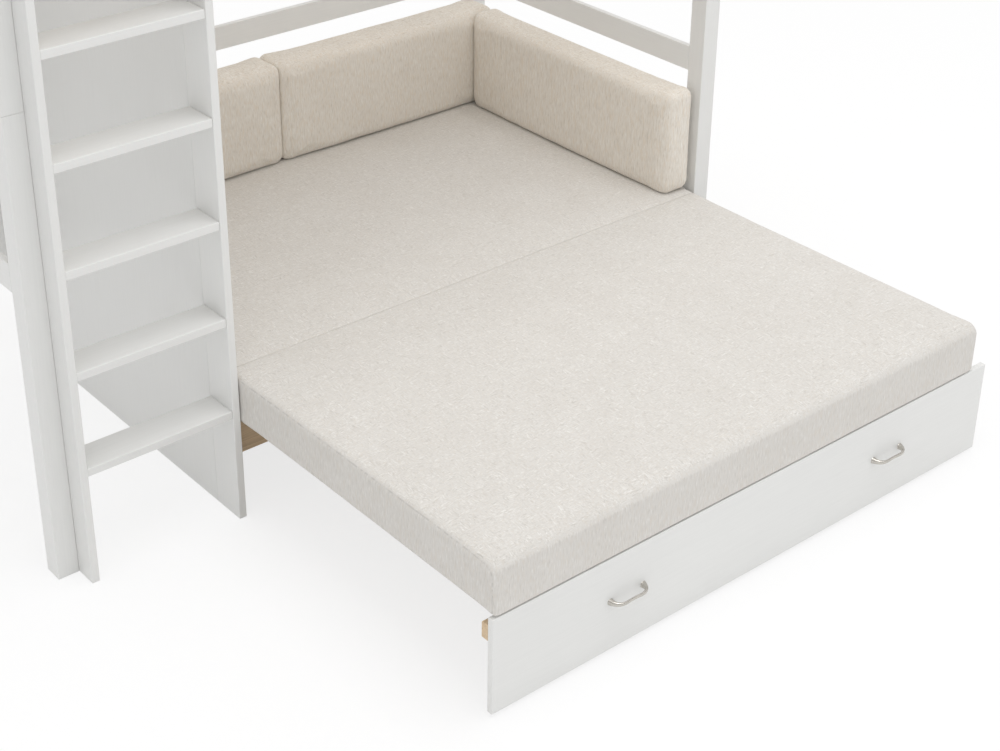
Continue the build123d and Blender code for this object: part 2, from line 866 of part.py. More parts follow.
def bunk_slats():
    y0 = bunk_front_inner_y + bunk_slat_end_gap
    y1 = bunk_back_inner_y - bunk_slat_end_gap
    x0 = post_side + ledge_end_gap
    step = (right_post_x - ledge_end_gap - x0 - bunk_slat_width) / (bunk_slat_count - 1)
    top = ledge_top + bunk_slat_thickness
    made = []
    for index in range(bunk_slat_count):
        left = x0 + step * index
        made.append(board(left, left + bunk_slat_width, y0, y1, ledge_top, top))
    return made


# The nodes, each written to a file of its own


def post_nodes():
    """The four posts, each in a lower and an upper length, and the pins between them."""
    names = ("left_front_post", "right_front_post", "left_back_post", "right_back_post")
    made = {"post_pins": Compound([post_pin(name) for name in names])}
    for name in names:
        made[name + "_lower"] = post(name, 0.0, post_joint_height)
        made[name + "_upper"] = post(name, post_joint_height, bed_height)
    return made


def rail_nodes():
    made = {name: rail.solid() for name, rail in seat_rails.items()}
    back = cut_all(base_back_rail.solid(), divider_dowels(dowel_clearance))
    made["base_back_rail"] = drilled(back, base_spots, base_slat_top)
    for side, rail in bunk_rails.items():
        made["bunk_" + side + "_rail"] = rail.solid()
        guards = [lower_guards[side].solid(), upper_guards[side].solid()]
        made[side + "_guard_rails"] = Compound(guards)
    made["front_slat_ledge"] = slat_ledge("front")
    made["back_slat_ledge"] = slat_ledge("back")
    made["bunk_slats"] = Compound(bunk_slats())
    made["dowels"] = Compound(dowels())
    return made


def ladder_nodes():
    made = {"ladder_left_board": ladder_board("left"), "ladder_right_board": ladder_board("right")}
    for index in range(tread_count):
        made["ladder_tread_" + str(index + 1)] = tread(index)
    made["divider_panel"] = divider_panel()
    made["ladder_bay_back_panel"] = bay_back_panel()
    return made


def base_nodes():
    return {
        "base_front_rail": base_front_rail(),
        "base_slats": Compound(base_slats()),
        "base_slat_screws": Compound([slat_screw(x, y, base_slat_top) for x, y in base_spots]),
        "base_angles": Compound([angle("left"), angle("right")]),
        "base_angle_screws": Compound(angle_screws("left") + angle_screws("right")),
    }


def pullout_nodes():
    left_handle_x, right_handle_x = handle_centres()
    screws = [slat_screw(x, y, pullout_slat_top) for x, y in pullout_spots]
    made = {
        "pullout_front_panel": front_panel(),
        "pullout_front_rail": pullout_front_rail(),
        "pullout_rear_batten": pullout_rear_batten(),
        "pullout_slats": Compound(pullout_slats()),
        "pullout_slat_screws": Compound(screws),
        "left_handle": handle(left_handle_x),
        "right_handle": handle(right_handle_x),
        "handle_screws": Compound(handle_screws()),
        "wheel_brackets": Compound([wheel_bracket(centre) for centre in wheel_centres()]),
        "bracket_screws": Compound(bracket_screws()),
        "wheel_axles": Compound([axle(centre) for centre in wheel_centres()]),
    }
    for index, centre in enumerate(wheel_centres()):
        made["wheel_" + str(index + 1)] = wheel(centre)
    return made


def soft_nodes():
    return {
        "rear_mattress": rear_mattress(),
        "front_mattress": front_mattress(),
        "left_back_cushion": left_back_cushion(),
        "right_back_cushion": right_back_cushion(),
        "end_cushion": end_cushion(),
    }


def write_nodes():
    """Write every node, moved so that the origin is under the middle of the bed."""
    os.makedirs("parts", exist_ok=True)
    nodes = {**post_nodes(), **rail_nodes(), **ladder_nodes()}
    nodes.update({**base_nodes(), **pullout_nodes(), **soft_nodes()})
    for name, shape in nodes.items():
        export_step(Pos(-origin_x, -origin_y, 0) * shape, "parts/" + name + ".step")


write_nodes()
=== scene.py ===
"""Futon bunk bed: finishes, stuffed mattress and cushions, studio and camera.

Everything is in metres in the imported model's frame: +X along the bed with the ladder at the -X
end, -Y the side that the slatted frame pulls out to, +Z up from the floor.
"""

from __future__ import annotations

import logging
import math
from collections.abc import Iterable, Sequence
from dataclasses import dataclass, field
from enum import Enum
from functools import cache
from typing import Protocol

import bpy
import numpy as np
from mathutils import Euler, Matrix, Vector


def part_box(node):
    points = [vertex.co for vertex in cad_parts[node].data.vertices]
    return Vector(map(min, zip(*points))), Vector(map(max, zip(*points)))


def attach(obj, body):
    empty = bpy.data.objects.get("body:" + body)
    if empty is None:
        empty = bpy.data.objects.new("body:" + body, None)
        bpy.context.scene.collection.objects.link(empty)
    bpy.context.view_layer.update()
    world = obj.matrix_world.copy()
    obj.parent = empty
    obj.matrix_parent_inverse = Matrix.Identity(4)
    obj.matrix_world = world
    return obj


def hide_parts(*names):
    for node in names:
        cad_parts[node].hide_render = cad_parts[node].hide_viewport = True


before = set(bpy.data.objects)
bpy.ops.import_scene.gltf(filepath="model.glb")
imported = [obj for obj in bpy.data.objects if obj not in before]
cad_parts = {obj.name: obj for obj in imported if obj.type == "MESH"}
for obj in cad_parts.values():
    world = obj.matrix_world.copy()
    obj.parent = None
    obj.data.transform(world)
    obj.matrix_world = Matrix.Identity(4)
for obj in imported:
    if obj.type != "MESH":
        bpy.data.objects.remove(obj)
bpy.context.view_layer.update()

LOG = logging.getLogger("futon_bunk_bed")
MM = 0.001
# Least length that is divided by
TINY = 1e-12
# How many frames the covers are puffed for
SIMULATED_FRAMES = 20

Range = tuple[float, float]
Triple = tuple[float, float, float]
Colour = Triple

WHITE: Colour = (1.0, 1.0, 1.0)


class Axis(Enum):
    """The frame's axes, by their place in a point."""

    X = 0
    Y = 1
    Z = 2


class Side(Enum):
    """A side of a pad: its axis and the way that it faces."""

    LEFT = (0, -1)
    RIGHT = (0, 1)
    FRONT = (1, -1)
    BACK = (1, 1)
    BOTTOM = (2, -1)
    TOP = (2, 1)


# Node graphs


class MixSocket(Enum):
    """Numbers of a Mix node's inputs and output when it mixes colours."""

    SHARE = 0
    FIRST = 6
    SECOND = 7
    RESULT = 2


class Graph:
    """A material's or world's node tree with short ways to add nodes and join them."""

    def __init__(self, name: str, kind: bpy.types.bpy_prop_collection | None = None) -> None:
        """Make an empty material or world.

        Args:
            name: Its name.
            kind: Where it is made, materials by default.
        """
        self.owner = (bpy.data.materials if kind is None else kind).new(name)
        self.owner.use_nodes = True
        self.tree = self.owner.node_tree
        self.tree.nodes.clear()

    def add(self, kind: str, **settings: object) -> bpy.types.Node:
        """Add a node.

        Args:
            kind: The node's type name.
            **settings: Properties to set on the node.

        Returns:
            The new node.
        """
        node = self.tree.nodes.new(kind)
        for name, value in settings.items():
            setattr(node, name, value)
        return node

    def feed(self, node: bpy.types.Node, **values: object) -> bpy.types.Node:
        """Set or link a node's inputs, named with _ for a space.

        Args:
            node: The node whose inputs are fed.
            **values: A socket to link, or a constant to set, for each input.

        Returns:
            The same node.
        """
        for name, value in values.items():
            socket = node.inputs[name.replace("_", " ")]
            if isinstance(value, bpy.types.NodeSocket):
                self.tree.links.new(value, socket)
            else:
                socket.default_value = value
        return node

    def math(self, operation: str, first: object, second: object = 0.0) -> bpy.types.NodeSocket:
        """Result of a two-value math node.

        Args:
            operation: The operation's name.
            first: First socket or number.
            second: Second socket or number.

        Returns:
            The result's socket.
        """
        node = self.add("ShaderNodeMath", operation=operation)
        for socket, value in zip(node.inputs, (first, second)):
            if isinstance(value, bpy.types.NodeSocket):
                self.tree.links.new(value, socket)
            else:
                socket.default_value = value
        return node.outputs[0]

    def remap(self, value: bpy.types.NodeSocket, source: Range, target: Range) -> bpy.types.NodeSocket:
        """Clamped straight-line change of a value's range.

        Args:
            value: The socket to change.
            source: Low and high end of its range.
            target: What those ends become.

        Returns:
            The result's socket.
        """
        node = self.add("ShaderNodeMapRange")
        self.feed(
            node, Value=value, From_Min=source[0], From_Max=source[1], To_Min=target[0], To_Max=target[1]
        )
        return node.outputs["Result"]

    def place(self, stretch: Triple = (1.0, 1.0, 1.0)) -> bpy.types.NodeSocket:
        """The object's own coordinates, scaled along each axis.

        Args:
            stretch: Scale along X, Y and Z; a small value draws the pattern out along that axis.

        Returns:
            The coordinates' socket.
        """
        mapping = self.add("ShaderNodeMapping")
        coordinates = self.add("ShaderNodeTexCoord").outputs["Object"]
        self.feed(mapping, Vector=coordinates, Scale=stretch)
        return mapping.outputs["Vector"]

    def noise(
        self, where: bpy.types.NodeSocket, scale: float, detail: float = 2.0, twist: float = 0.0
    ) -> bpy.types.NodeSocket:
        """Smooth noise from 0 to 1.

        Args:
            where: The coordinates.
            scale: Features per metre.
            detail: Octaves.
            twist: Distortion.

        Returns:
            The noise's socket.
        """
        node = self.add("ShaderNodeTexNoise")
        self.feed(node, Vector=where, Scale=scale, Detail=detail, Distortion=twist)
        return node.outputs["Fac"]

    def ramp(
        self, value: bpy.types.NodeSocket, stops: Sequence[tuple[float, Colour]]
    ) -> bpy.types.NodeSocket:
        """Colours spread over a value.

        Args:
            value: The value, from 0 to 1.
            stops: Places and their colours.

        Returns:
            The colour's socket.
        """
        node = self.add("ShaderNodeValToRGB")
        elements = node.color_ramp.elements
        while len(elements) < len(stops):
            elements.new(0.5)
        for element, (place, colour) in zip(elements, stops):
            element.position = place
            element.color = (*colour, 1.0)
        self.feed(node, Fac=value)
        return node.outputs["Color"]

    def mix(
        self, share: object, first: object, second: object, blend: str = "MIX"
    ) -> bpy.types.NodeSocket:
        """Mix of two colours.

        Args:
            share: Share of the second one, a socket or a number.
            first: First colour's socket, or a colour.
            second: Second colour's socket, or a colour.
            blend: Blend type.

        Returns:
            The colour's socket.
        """
        node = self.add("ShaderNodeMix", data_type="RGBA", blend_type=blend)
        given = {MixSocket.SHARE: share, MixSocket.FIRST: first, MixSocket.SECOND: second}
        for place, value in given.items():
            socket = node.inputs[place.value]
            if isinstance(value, bpy.types.NodeSocket):
                self.tree.links.new(value, socket)
            elif place is MixSocket.SHARE:
                socket.default_value = value
            else:
                socket.default_value = (*value, 1.0)
        return node.outputs[MixSocket.RESULT.value]

    def bump(
        self, height: bpy.types.NodeSocket, depth: float, under: bpy.types.NodeSocket | None = None
    ) -> bpy.types.NodeSocket:
        """Normal bent by a height.

        Args:
            height: The height, from 0 to 1.
            depth: What a height of 1 is, in metres.
            under: A normal that is already bent.

        Returns:
            The normal's socket.
        """
        node = self.add("ShaderNodeBump")
        self.feed(node, Height=height, Distance=depth, Strength=1.0)
        if under is not None:
            self.feed(node, Normal=under)
        return node.outputs["Normal"]

    def surface(self, **values: object) -> bpy.types.Material:
        """Close the graph with a Principled shader.

        Args:
            **values: Its inputs, as for feed.

        Returns:
            The material.
        """
        shader = self.feed(self.add("ShaderNodeBsdfPrincipled"), **values)
        output = self.add("ShaderNodeOutputMaterial")
        self.tree.links.new(shader.outputs["BSDF"], output.inputs["Surface"])
        return self.owner


def along(axis: Axis, share: float) -> Triple:
    """Scale that draws a pattern out along one axis.

    Args:
        axis: The axis.
        share: The scale along it; the others keep 1.

    Returns:
        The three scales.
    """
    return tuple(share if other is axis else 1.0 for other in Axis)


def shade(colour: Colour, factor: float) -> Colour:
    """A colour made darker or lighter by a factor."""
    return tuple(min(1.0, part * factor) for part in colour)


def around(middle: float, spread: Range) -> Range:
    """Low and high end of a spread round a middle value."""
    return middle + spread[0], middle + spread[1]


# Finishes


@dataclass(frozen=True)
class PaintedWood:
    """Satin lacquer on wood, with the grain just telegraphing through along one axis."""

    grain: Axis
    colour: Colour = (0.79, 0.79, 0.775)
    roughness: float = 0.42
    roughness_spread: Range = (-0.05, 0.06)
    cloud_scale: float = 3.2
    cloud_shades: Range = (0.985, 1.01)
    grain_scale: float = 260.0
    grain_stretch: float = 0.035
    grain_depth: float = 0.00006
    grain_shade: float = 0.975
    peel_scale: float = 620.0
    peel_depth: float = 0.000025
    lacquer_ior: float = 1.48

    def material(self) -> bpy.types.Material:
        """Build the lacquer's material."""
        graph = Graph(f"white_lacquer_{self.grain.name.lower()}")
        grain = graph.noise(graph.place(along(self.grain, self.grain_stretch)), self.grain_scale, 3.0)
        cloud = graph.noise(graph.place(), self.cloud_scale, 3.0)
        peel = graph.noise(graph.place(), self.peel_scale, 1.0)
        low, high = (shade(self.colour, factor) for factor in self.cloud_shades)
        tone = graph.ramp(cloud, [(0.3, low), (0.7, high)])
        streak = graph.remap(grain, (0.35, 0.75), (1.0, self.grain_shade))
        grey = graph.ramp(streak, [(0.9, shade(WHITE, 0.9)), (1.0, WHITE)])
        colour = graph.mix(1.0, tone, grey, "MULTIPLY")
        rough = graph.remap(cloud, (0.3, 0.7), around(self.roughness, self.roughness_spread))
        normal = graph.bump(peel, self.peel_depth, graph.bump(grain, self.grain_depth))
        return graph.surface(Base_Color=colour, Roughness=rough, Normal=normal, IOR=self.lacquer_ior)


@dataclass(frozen=True)
class NaturalWood:
    """Clear-finished softwood with growth rings and pores drawn out along one axis."""

    grain: Axis
    light: Colour = (0.70, 0.54, 0.36)
    dark: Colour = (0.55, 0.40, 0.25)
    roughness: float = 0.55
    roughness_spread: Range = (-0.08, 0.12)
    ring_scale: float = 16.0
    ring_stretch: float = 0.06
    ring_count: float = 11.0
    ring_shares: Range = (0.1, 0.75)
    ring_depth: float = 0.00008
    edge_share: float = 0.35
    edge_shade: float = 0.8
    pore_scale: float = 900.0
    pore_stretch: float = 0.02
    pore_share: float = 0.4
    pore_shade: float = 0.62
    pore_depth: float = 0.00012
    cloud_scale: float = 7.0
    cloud_share: float = 0.22
    cloud_shade: float = 1.18

    def material(self) -> bpy.types.Material:
        """Build the wood's material."""
        graph = Graph(f"natural_wood_{self.grain.name.lower()}")
        where = graph.place(along(self.grain, self.ring_stretch))
        wander = graph.noise(where, self.ring_scale, 3.0, 0.6)
        rings = graph.math("FRACT", graph.math("MULTIPLY", wander, self.ring_count))
        edge = graph.remap(rings, (0.72, 1.0), (0.0, 1.0))
        pores = graph.noise(graph.place(along(self.grain, self.pore_stretch)), self.pore_scale, 2.0)
        cloud = graph.noise(graph.place(), self.cloud_scale, 2.0)
        base = graph.mix(graph.remap(rings, (0.0, 1.0), self.ring_shares), self.light, self.dark)
        ring_edge = graph.math("MULTIPLY", edge, self.edge_share)
        base = graph.mix(ring_edge, base, shade(self.dark, self.edge_shade))
        pore = graph.remap(pores, (0.55, 0.8), (0.0, self.pore_share))
        base = graph.mix(pore, base, shade(self.dark, self.pore_shade))
        pale = graph.remap(cloud, (0.35, 0.7), (0.0, self.cloud_share))
        base = graph.mix(pale, base, shade(self.light, self.cloud_shade))
        rough = graph.remap(pores, (0.3, 0.8), around(self.roughness, self.roughness_spread))
        normal = graph.bump(pores, self.pore_depth, graph.bump(rings, self.ring_depth))
        return graph.surface(Base_Color=base, Roughness=rough, Normal=normal)


@dataclass(frozen=True)
class HeatheredCloth:
    """Melange upholstery cloth: short upright flecks on standing faces, mixed ones on tops."""

    name: str
    base: Colour
    dark: Colour
    light: Colour
    tan: Colour
    roughness: float = 0.92
    roughness_spread: Range = (-0.06, 0.05)
    sheen: float = 0.15
    sheen_roughness: float = 0.5
    specular: float = 0.25
    fleck_scale: float = 310.0
    fleck_stretch: float = 0.17
    fleck_detail: float = 1.5
    fleck_twist: float = 0.2
    upright_levels: Range = (0.18, 0.82)
    curl_scale_share: float = 0.85
    curl_stretch: float = 0.22
    curl_twist: float = 1.6
    patch_scale: float = 40.0
    tan_scale_share: float = 0.55
    tan_stretch: float = 0.25
    tan_share: float = 0.55
    cloud_scale: float = 9.0
    cloud_tint: Colour = (0.97, 0.965, 0.96)
    # Painted shade along the seam's crease: its share, how dark it is, and the dashes that break it up.
    crease_shade_share: float = 0.36
    crease_shade_factor: float = 0.6
    dash_scale: float = 75.0
    dash_range: Range = (0.25, 1.0)
    weave_scale: float = 1150.0
    weave_depth: float = 0.00035
    seam_attribute: str = "seam"

    def curls(self, graph: Graph, axis: Axis) -> bpy.types.NodeSocket:
        """Curly flecks drawn out along one axis."""
        where = graph.place(along(axis, self.curl_stretch))
        scale = self.fleck_scale * self.curl_scale_share
        return graph.noise(where, scale, self.fleck_detail, self.curl_twist)

    def flecks(self, graph: Graph) -> bpy.types.NodeSocket:
        """Fleck pattern: upright on standing faces, curly in both directions on tops."""
        where = graph.place(along(Axis.Z, self.fleck_stretch))
        upright = graph.noise(where, self.fleck_scale, self.fleck_detail, self.fleck_twist)
        upright = graph.remap(upright, (0.0, 1.0), self.upright_levels)
        facing = graph.add("ShaderNodeSeparateXYZ")
        graph.feed(facing, Vector=graph.add("ShaderNodeTexCoord").outputs["Normal"])
        level = graph.math("ABSOLUTE", facing.outputs["Z"])
        lying = graph.remap(level, (0.45, 0.8), (0.0, 1.0))
        patch = graph.remap(graph.noise(graph.place(), self.patch_scale, 2.0), (0.4, 0.6), (0.0, 1.0))
        top = graph.mix(patch, self.curls(graph, Axis.X), self.curls(graph, Axis.Y))
        return graph.mix(lying, upright, top)

    def crease_shade_mask(self, graph: Graph) -> bpy.types.NodeSocket:
        """Share of painted shade along the seam's crease, broken into stitch-length dashes."""
        seam = graph.add("ShaderNodeAttribute", attribute_name=self.seam_attribute).outputs["Fac"]
        dash_noise = graph.noise(graph.place(), self.dash_scale, 0.0)
        crease_dashes = graph.remap(dash_noise, (0.44, 0.54), self.dash_range)
        return graph.math("MULTIPLY", graph.remap(seam, (0.65, 0.95), (0.0, self.crease_shade_share)), crease_dashes)

    def material(self) -> bpy.types.Material:
        """Build the cloth's material."""
        graph = Graph(self.name)
        flecks = self.flecks(graph)
        stops = [(0.28, self.dark), (0.48, self.base), (0.54, self.base), (0.70, self.light)]
        colour = graph.ramp(flecks, stops)
        where = graph.place(along(Axis.Z, self.tan_stretch))
        warm = graph.noise(where, self.fleck_scale * self.tan_scale_share, 1.0, 0.5)
        colour = graph.mix(graph.remap(warm, (0.5, 0.72), (0.0, self.tan_share)), colour, self.tan)
        cloud = graph.noise(graph.place(), self.cloud_scale, 3.0, 0.4)
        tint = graph.ramp(cloud, [(0.3, self.cloud_tint), (0.7, WHITE)])
        colour = graph.mix(1.0, colour, tint, "MULTIPLY")
        # Painted shade: the seam's crease darkened as a line of dashes, standing in for its shadow.
        colour = graph.mix(self.crease_shade_mask(graph), colour, shade(self.dark, self.crease_shade_factor))
        weave = graph.noise(graph.place(), self.weave_scale, 1.0)
        height = graph.mix(0.5, weave, flecks)
        rough = graph.remap(flecks, (0.3, 0.7), around(self.roughness, self.roughness_spread))
        return graph.surface(
            Base_Color=colour, Roughness=rough, Normal=graph.bump(height, self.weave_depth),
            Sheen_Weight=self.sheen, Sheen_Roughness=self.sheen_roughness,
            Specular_IOR_Level=self.specular,
        )


@dataclass(frozen=True)
class BrushedNickel:
    """Warm brushed metal with fine marks round the bar."""

    colour: Colour = (0.58, 0.555, 0.51)
    roughness: float = 0.2
    roughness_spread: Range = (-0.08, 0.1)
    brush_scale: float = 2600.0
    brush_stretch: float = 0.05
    brush_depth: float = 0.000005
    cloud_scale: float = 60.0
    cloud_share: float = 0.35
    cloud_shade: float = 0.82

    def material(self) -> bpy.types.Material:
        """Build the metal's material."""
        graph = Graph("handle_metal")
        brush = graph.noise(graph.place(along(Axis.X, self.brush_stretch)), self.brush_scale, 2.0)
        cloud = graph.noise(graph.place(), self.cloud_scale, 2.0)
        dull = graph.remap(cloud, (0.35, 0.65), (0.0, self.cloud_share))
        colour = graph.mix(dull, self.colour, shade(self.colour, self.cloud_shade))
        rough = graph.remap(brush, (0.3, 0.7), around(self.roughness, self.roughness_spread))
        normal = graph.bump(brush, self.brush_depth)
        return graph.surface(Base_Color=colour, Metallic=1.0, Roughness=rough, Normal=normal)


@dataclass(frozen=True)
class ZincSteel:
    """Bright zinc plating with a faint spangle."""

    colour: Colour = (0.6, 0.61, 0.63)
    roughness: float = 0.36
    roughness_spread: Range = (-0.08, 0.1)
    spangle_scale: float = 320.0
    spangle_steps: float = 7.0
    spangle_share: float = 0.3
    spangle_shade: float = 0.75

    def material(self) -> bpy.types.Material:
        """Build the plating's material."""
        graph = Graph("zinc_plating")
        cells = graph.add("ShaderNodeTexVoronoi")
        graph.feed(cells, Vector=graph.place(), Scale=self.spangle_scale)
        spread = graph.math("MULTIPLY", cells.outputs["Distance"], self.spangle_steps)
        spangle = graph.math("FRACT", spread)
        dull = graph.remap(spangle, (0.0, 1.0), (0.0, self.spangle_share))
        colour = graph.mix(dull, self.colour, shade(self.colour, self.spangle_shade))
        rough = graph.remap(spangle, (0.0, 1.0), around(self.roughness, self.roughness_spread))
        return graph.surface(Base_Color=colour, Metallic=1.0, Roughness=rough)


@dataclass(frozen=True)
class DarkNylon:
    """Moulded dark nylon, scuffed where it rolls."""

    colour: Colour = (0.035, 0.035, 0.038)
    scuffed: Colour = (0.09, 0.088, 0.085)
    roughness: float = 0.5
    roughness_spread: Range = (-0.1, 0.2)
    scuff_scale: float = 300.0
    scuff_stretch: float = 0.4
    scuff_share: float = 0.6
    scuff_depth: float = 0.00004

    def material(self) -> bpy.types.Material:
        """Build the nylon's material."""
        graph = Graph("wheel_nylon")
        scuff = graph.noise(graph.place(along(Axis.X, self.scuff_stretch)), self.scuff_scale, 3.0)
        worn = graph.remap(scuff, (0.5, 0.75), (0.0, self.scuff_share))
        colour = graph.mix(worn, self.colour, self.scuffed)
        rough = graph.remap(scuff, (0.3, 0.7), around(self.roughness, self.roughness_spread))
        normal = graph.bump(scuff, self.scuff_depth)
        return graph.surface(Base_Color=colour, Roughness=rough, Normal=normal)


MATTRESS_CLOTH = HeatheredCloth(
    name="mattress_cloth", base=(0.69, 0.668, 0.634), dark=(0.57, 0.545, 0.507),
    light=(0.81, 0.795, 0.768), tan=(0.672, 0.628, 0.567),
)
CUSHION_CLOTH = HeatheredCloth(
    name="cushion_cloth", base=(0.79, 0.742, 0.672), dark=(0.62, 0.56, 0.477),
    light=(0.90, 0.875, 0.82), tan=(0.762, 0.67, 0.55),
)


class Finish(Protocol):
    """Anything that can build its own material."""

    def material(self) -> bpy.types.Material:
        """Build the material."""


@cache
def material_of(finish: Finish) -> bpy.types.Material:
    """A finish's material, built once and shared by all its pieces."""
    return finish.material()


def dress(names: Iterable[str], finish: Finish) -> None:
    """Give CAD nodes a finish.

    Args:
        names: The nodes' names.
        finish: The finish.
    """
    material = material_of(finish)
    for name in names:
        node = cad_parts[name]
        node.data.materials.clear()
        node.data.materials.append(material)
        LOG.info("dressed %s in %s", name, material.name)


# Surfaces


def axis_stations(
    half: float, ends: Sequence[np.ndarray], edges: Sequence[float], step: float
) -> np.ndarray:
    """Grid places along one axis of a pad, whose middle is at 0.

    Formula: the straight part from -(half - low edge) to half - high edge is cut evenly, at most
    a step apart, and each end gets the given places, measured inwards from the end.

    Args:
        half: Half of the pad's size on this axis.
        ends: For the low and the high end, distances from 0 up to, but without, the edge.
        edges: Width of the rounded part at the low and the high end.
        step: Longest spacing on the straight part.

    Returns:
        The places in rising order.
    """
    first, last = edges[0] - half, half - edges[1]
    straight = np.linspace(first, last, max(2, math.ceil((last - first) / step) + 1))
    return np.concatenate([ends[0] - half, straight, (half - ends[1])[::-1]])


def box_lattice(stations: Sequence[np.ndarray]) -> tuple[np.ndarray, np.ndarray, np.ndarray]:
    """Skin of a box that is gridded at given places along its three axes.

    Formula: the points are the lattice points that have at least one index at an end of its
    axis, and each of the six sides is the grid of quads between its neighbouring points.

    Args:
        stations: Places along the three axes.

    Returns:
        The points, the quads that face outwards, and the lattice indices of the points.
    """
    counts = tuple(len(places) for places in stations)
    index = np.stack(np.meshgrid(*[np.arange(n) for n in counts], indexing="ij"), axis=-1)
    last = np.array(counts) - 1
    on_skin = ((index == 0) | (index == last)).any(axis=-1)
    number = np.full(counts, -1)
    number[on_skin] = np.arange(on_skin.sum())
    skin = index[on_skin]
    points = np.stack([stations[axis][skin[:, axis]] for axis in range(3)], axis=-1)
    quads = []
    for axis in range(3):
        for end in (0, -1):
            side = np.take(number, end, axis=axis)
            corners = [side[:-1, :-1], side[1:, :-1], side[1:, 1:], side[:-1, 1:]]
            grid = np.stack(corners, axis=-1).reshape(-1, 4)
            outward = (end == -1) != (axis == 1)
            quads.append(grid if outward else grid[:, ::-1])
    return points, np.concatenate(quads), skin


def ripple(
    points: np.ndarray, wave_length: float, seed: int, waves: int = 24,
    spread: Range = (0.7, 1.5), peak: float = 2.2,
) -> np.ndarray:
    """Smooth unevenness from -1 to 1, the same at each run.

    Formula: the mean of cosines of the dot product of the point with seeded wave vectors of
    about the given wave length, each with its own phase, scaled to a largest value near 1.

    Args:
        points: Points, one per row.
        wave_length: Typical distance between two humps.
        seed: Seed of the wave vectors.
        waves: How many cosines are added.
        spread: Shortest and longest wave, as shares of the wave length.
        peak: Largest sum of the cosines over the square root of their number.

    Returns:
        One value per point.
    """
    random = np.random.default_rng(seed)
    directions = random.normal(size=(waves, 3))
    directions /= np.linalg.norm(directions, axis=1, keepdims=True)
    lengths = wave_length * random.uniform(*spread, size=(waves, 1))
    phases = random.uniform(0.0, 2 * math.pi, size=waves)
    values = np.cos(points @ (directions * 2 * math.pi / lengths).T + phases)
    return values.sum(axis=1) / (peak * math.sqrt(waves))


def mesh_object(name: str, points: np.ndarray, faces: np.ndarray) -> bpy.types.Object:
    """Smooth-shaded mesh object at the origin.

    Args:
        name: The object's name.
        points: Points, one per row.
        faces: Point numbers of the faces, one face per row.

    Returns:
        The new object, linked to the scene.
    """
    mesh = bpy.data.meshes.new(name)
    mesh.from_pydata(points.tolist(), [], faces.tolist())
    mesh.polygons.foreach_set("use_smooth", np.ones(len(faces), dtype=bool))
    mesh.update()
    made = bpy.data.objects.new(name, mesh)
    bpy.context.scene.collection.objects.link(made)
    return made


def point_array(mesh: bpy.types.Mesh) -> np.ndarray:
    """A mesh's points as an array, one per row."""
    flat = np.empty(len(mesh.vertices) * 3, dtype=np.float32)
    mesh.vertices.foreach_get("co", flat)
    return flat.reshape(-1, 3).astype(float)


def normal_array(mesh: bpy.types.Mesh) -> np.ndarray:
    """A mesh's point normals as an array, one per row."""
    flat = np.empty(len(mesh.vertices) * 3, dtype=np.float32)
    mesh.vertices.foreach_get("normal", flat)
    return flat.reshape(-1, 3).astype(float)


# Stuffed pieces


@dataclass(frozen=True)
class Stuffing:
    """Cloth simulation that fills a cover: air pressure inside, and seams drawn tight."""

    quality: int = 5
    mass: float = 0.3
    tension: float = 18.0
    compression: float = 12.0
    shear: float = 6.0
    bending: float = 1.2
    air_damping: float = 2.0
    pressure: float = 4.0
    shrink: Range = (-0.012, 0.02)
    modifier_name: str = "stuffing"

    def start(self, piece: bpy.types.Object, seams: bpy.types.VertexGroup) -> None:
        """Give a cover the simulation.

        Args:
            piece: The cover.
            seams: Its points on the seams, which shrink the most.
        """
        cloth = piece.modifiers.new(self.modifier_name, "CLOTH")
        settings = cloth.settings
        settings.quality = self.quality
        settings.mass = self.mass
        settings.tension_stiffness = self.tension
        settings.compression_stiffness = self.compression
        settings.shear_stiffness = self.shear
        settings.bending_stiffness = self.bending
        settings.air_damping = self.air_damping
        settings.use_pressure = True
        settings.uniform_pressure_force = self.pressure
        settings.vertex_group_shrink = seams.name
        settings.shrink_min, settings.shrink_max = self.shrink
        settings.effector_weights.gravity = 0.0
        cloth.collision_settings.use_collision = False
        cloth.collision_settings.use_self_collision = False
        cloth.point_cache.frame_start = 1
        cloth.point_cache.frame_end = SIMULATED_FRAMES

    def stop(self, piece: bpy.types.Object) -> None:
        """Take the simulation off a cover."""
        piece.modifiers.remove(piece.modifiers[self.modifier_name])


